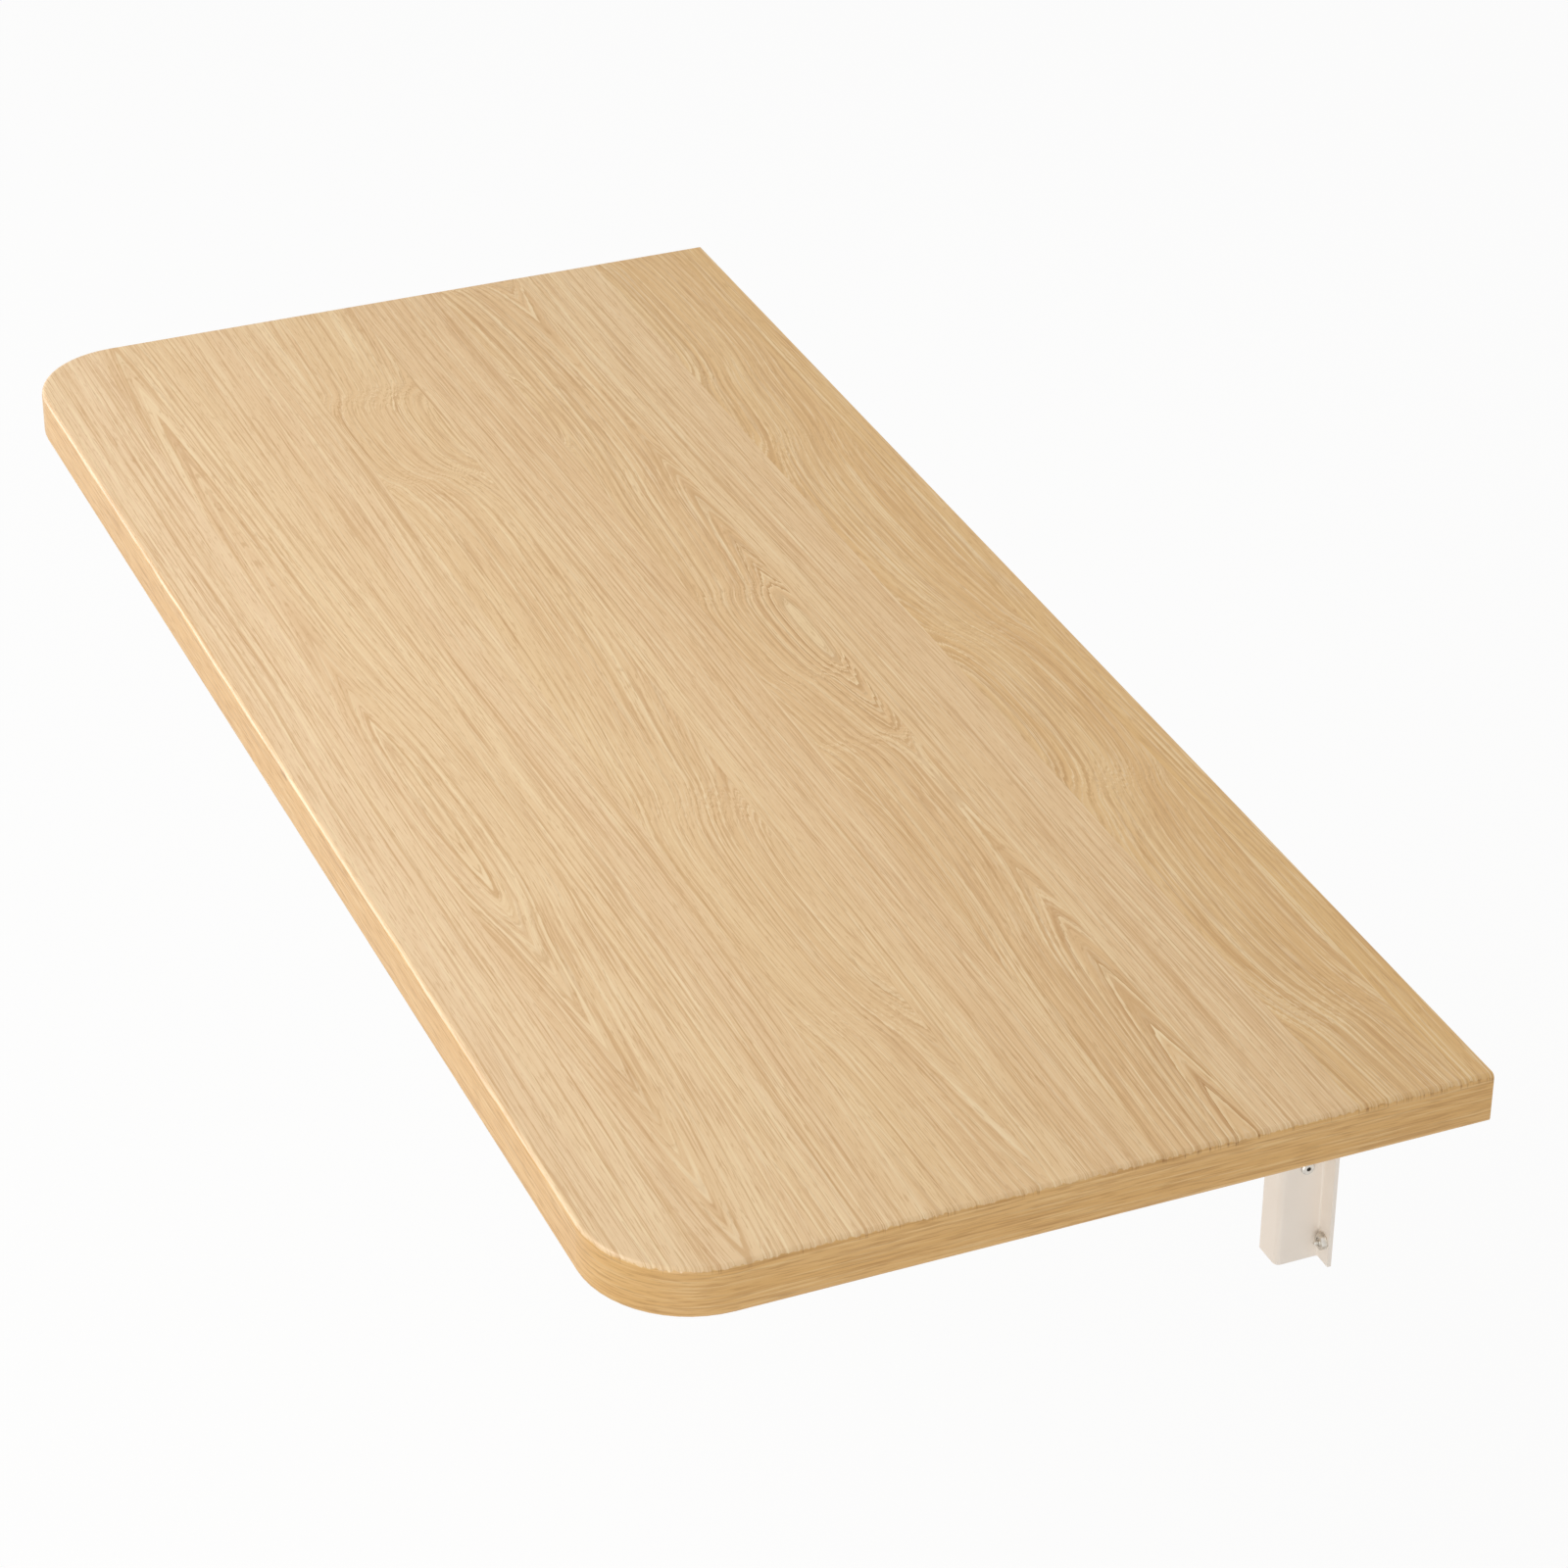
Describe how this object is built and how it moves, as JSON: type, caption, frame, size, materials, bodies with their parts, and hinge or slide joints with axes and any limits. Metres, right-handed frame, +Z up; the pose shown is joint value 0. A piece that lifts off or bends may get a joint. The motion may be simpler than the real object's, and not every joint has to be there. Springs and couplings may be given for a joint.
{
  "type": "wall mounted drop leaf table",
  "caption": "Rectangular wood-grain leaf with rounded front corners on folding channel brackets that drop it flat against the wall.",
  "frame": {"origin": "on the wall plane, at the centre of the four outer wall holes of the two brackets", "axes": "+X along the wall and the leaf's length, +Y into the wall, +Z up; the leaf stands out along -Y"},
  "size_m": [0.9, 0.401, 0.187],
  "materials": {
    "oak_laminate": "matt wood-grain laminate",
    "oak_edge_band": "matt wood-grain edge band",
    "core_board": "raw chipboard",
    "powder_coat": "satin cream powder coat",
    "zinc_steel": "dull zinc plate"
  },
  "bodies": {
    "wall_frame": {"left_wall_leg": "powder_coat", "left_hinge_pin": "zinc_steel", "left_foot_pin": "zinc_steel", "left_foot_spacers": "zinc_steel", "left_wall_washers": "zinc_steel", "left_wall_nuts": "zinc_steel", "right_wall_leg": "powder_coat", "right_hinge_pin": "zinc_steel", "right_foot_pin": "zinc_steel", "right_foot_spacers": "zinc_steel", "right_wall_washers": "zinc_steel", "right_wall_nuts": "zinc_steel"},
    "leaf": {"leaf_core": "core_board", "top_laminate": "oak_laminate", "bottom_laminate": "oak_laminate", "edge_band": "oak_edge_band", "back_edge_band": "oak_edge_band", "left_arm": "powder_coat", "left_arm_pin": "zinc_steel", "left_arm_spacers": "zinc_steel", "left_arm_screws": "zinc_steel", "right_arm": "powder_coat", "right_arm_pin": "zinc_steel", "right_arm_spacers": "zinc_steel", "right_arm_screws": "zinc_steel"},
    "left_upper_brace": {"left_upper_link": "powder_coat", "left_knee_pin_ends": "zinc_steel", "left_stop_rivet": "zinc_steel", "left_stop_sleeve": "zinc_steel"},
    "left_lower_brace": {"left_lower_link": "powder_coat", "left_knee_pin_core": "zinc_steel"},
    "right_upper_brace": {"right_upper_link": "powder_coat", "right_knee_pin_ends": "zinc_steel", "right_stop_rivet": "zinc_steel", "right_stop_sleeve": "zinc_steel"},
    "right_lower_brace": {"right_lower_link": "powder_coat", "right_knee_pin_core": "zinc_steel"}
  },
  "joints": [
    {"name": "leaf_fold", "type": "hinge", "parent": "wall_frame", "child": "leaf", "pos_m": [0, -0.0255, 0.0725], "axis": [1, 0, 0], "range_deg": [0, 90]},
    {"name": "left_lower_link_turn", "type": "hinge", "parent": "wall_frame", "child": "left_lower_brace", "pos_m": [-0.31, -0.0108, -0.0111], "axis": [-1, 0, 0], "range_deg": [0, 48.97]},
    {"name": "left_upper_link_turn", "type": "hinge", "parent": "leaf", "child": "left_upper_brace", "pos_m": [-0.31, -0.1955, 0.0872], "axis": [1, 0, 0], "range_deg": [0, 21.99]},
    {"name": "right_lower_link_turn", "type": "hinge", "parent": "wall_frame", "child": "right_lower_brace", "pos_m": [0.31, -0.0108, -0.0111], "axis": [-1, 0, 0], "range_deg": [0, 48.97]},
    {"name": "right_upper_link_turn", "type": "hinge", "parent": "leaf", "child": "right_upper_brace", "pos_m": [0.31, -0.1955, 0.0872], "axis": [1, 0, 0], "range_deg": [0, 21.99]}
  ],
  "couplings": [
    {"joint": "left_lower_link_turn", "follows": "leaf_fold", "ratio": 0.54409},
    {"joint": "left_upper_link_turn", "follows": "leaf_fold", "ratio": 0.24436},
    {"joint": "right_lower_link_turn", "follows": "leaf_fold", "ratio": 0.54409},
    {"joint": "right_upper_link_turn", "follows": "leaf_fold", "ratio": 0.24436}
  ]
}
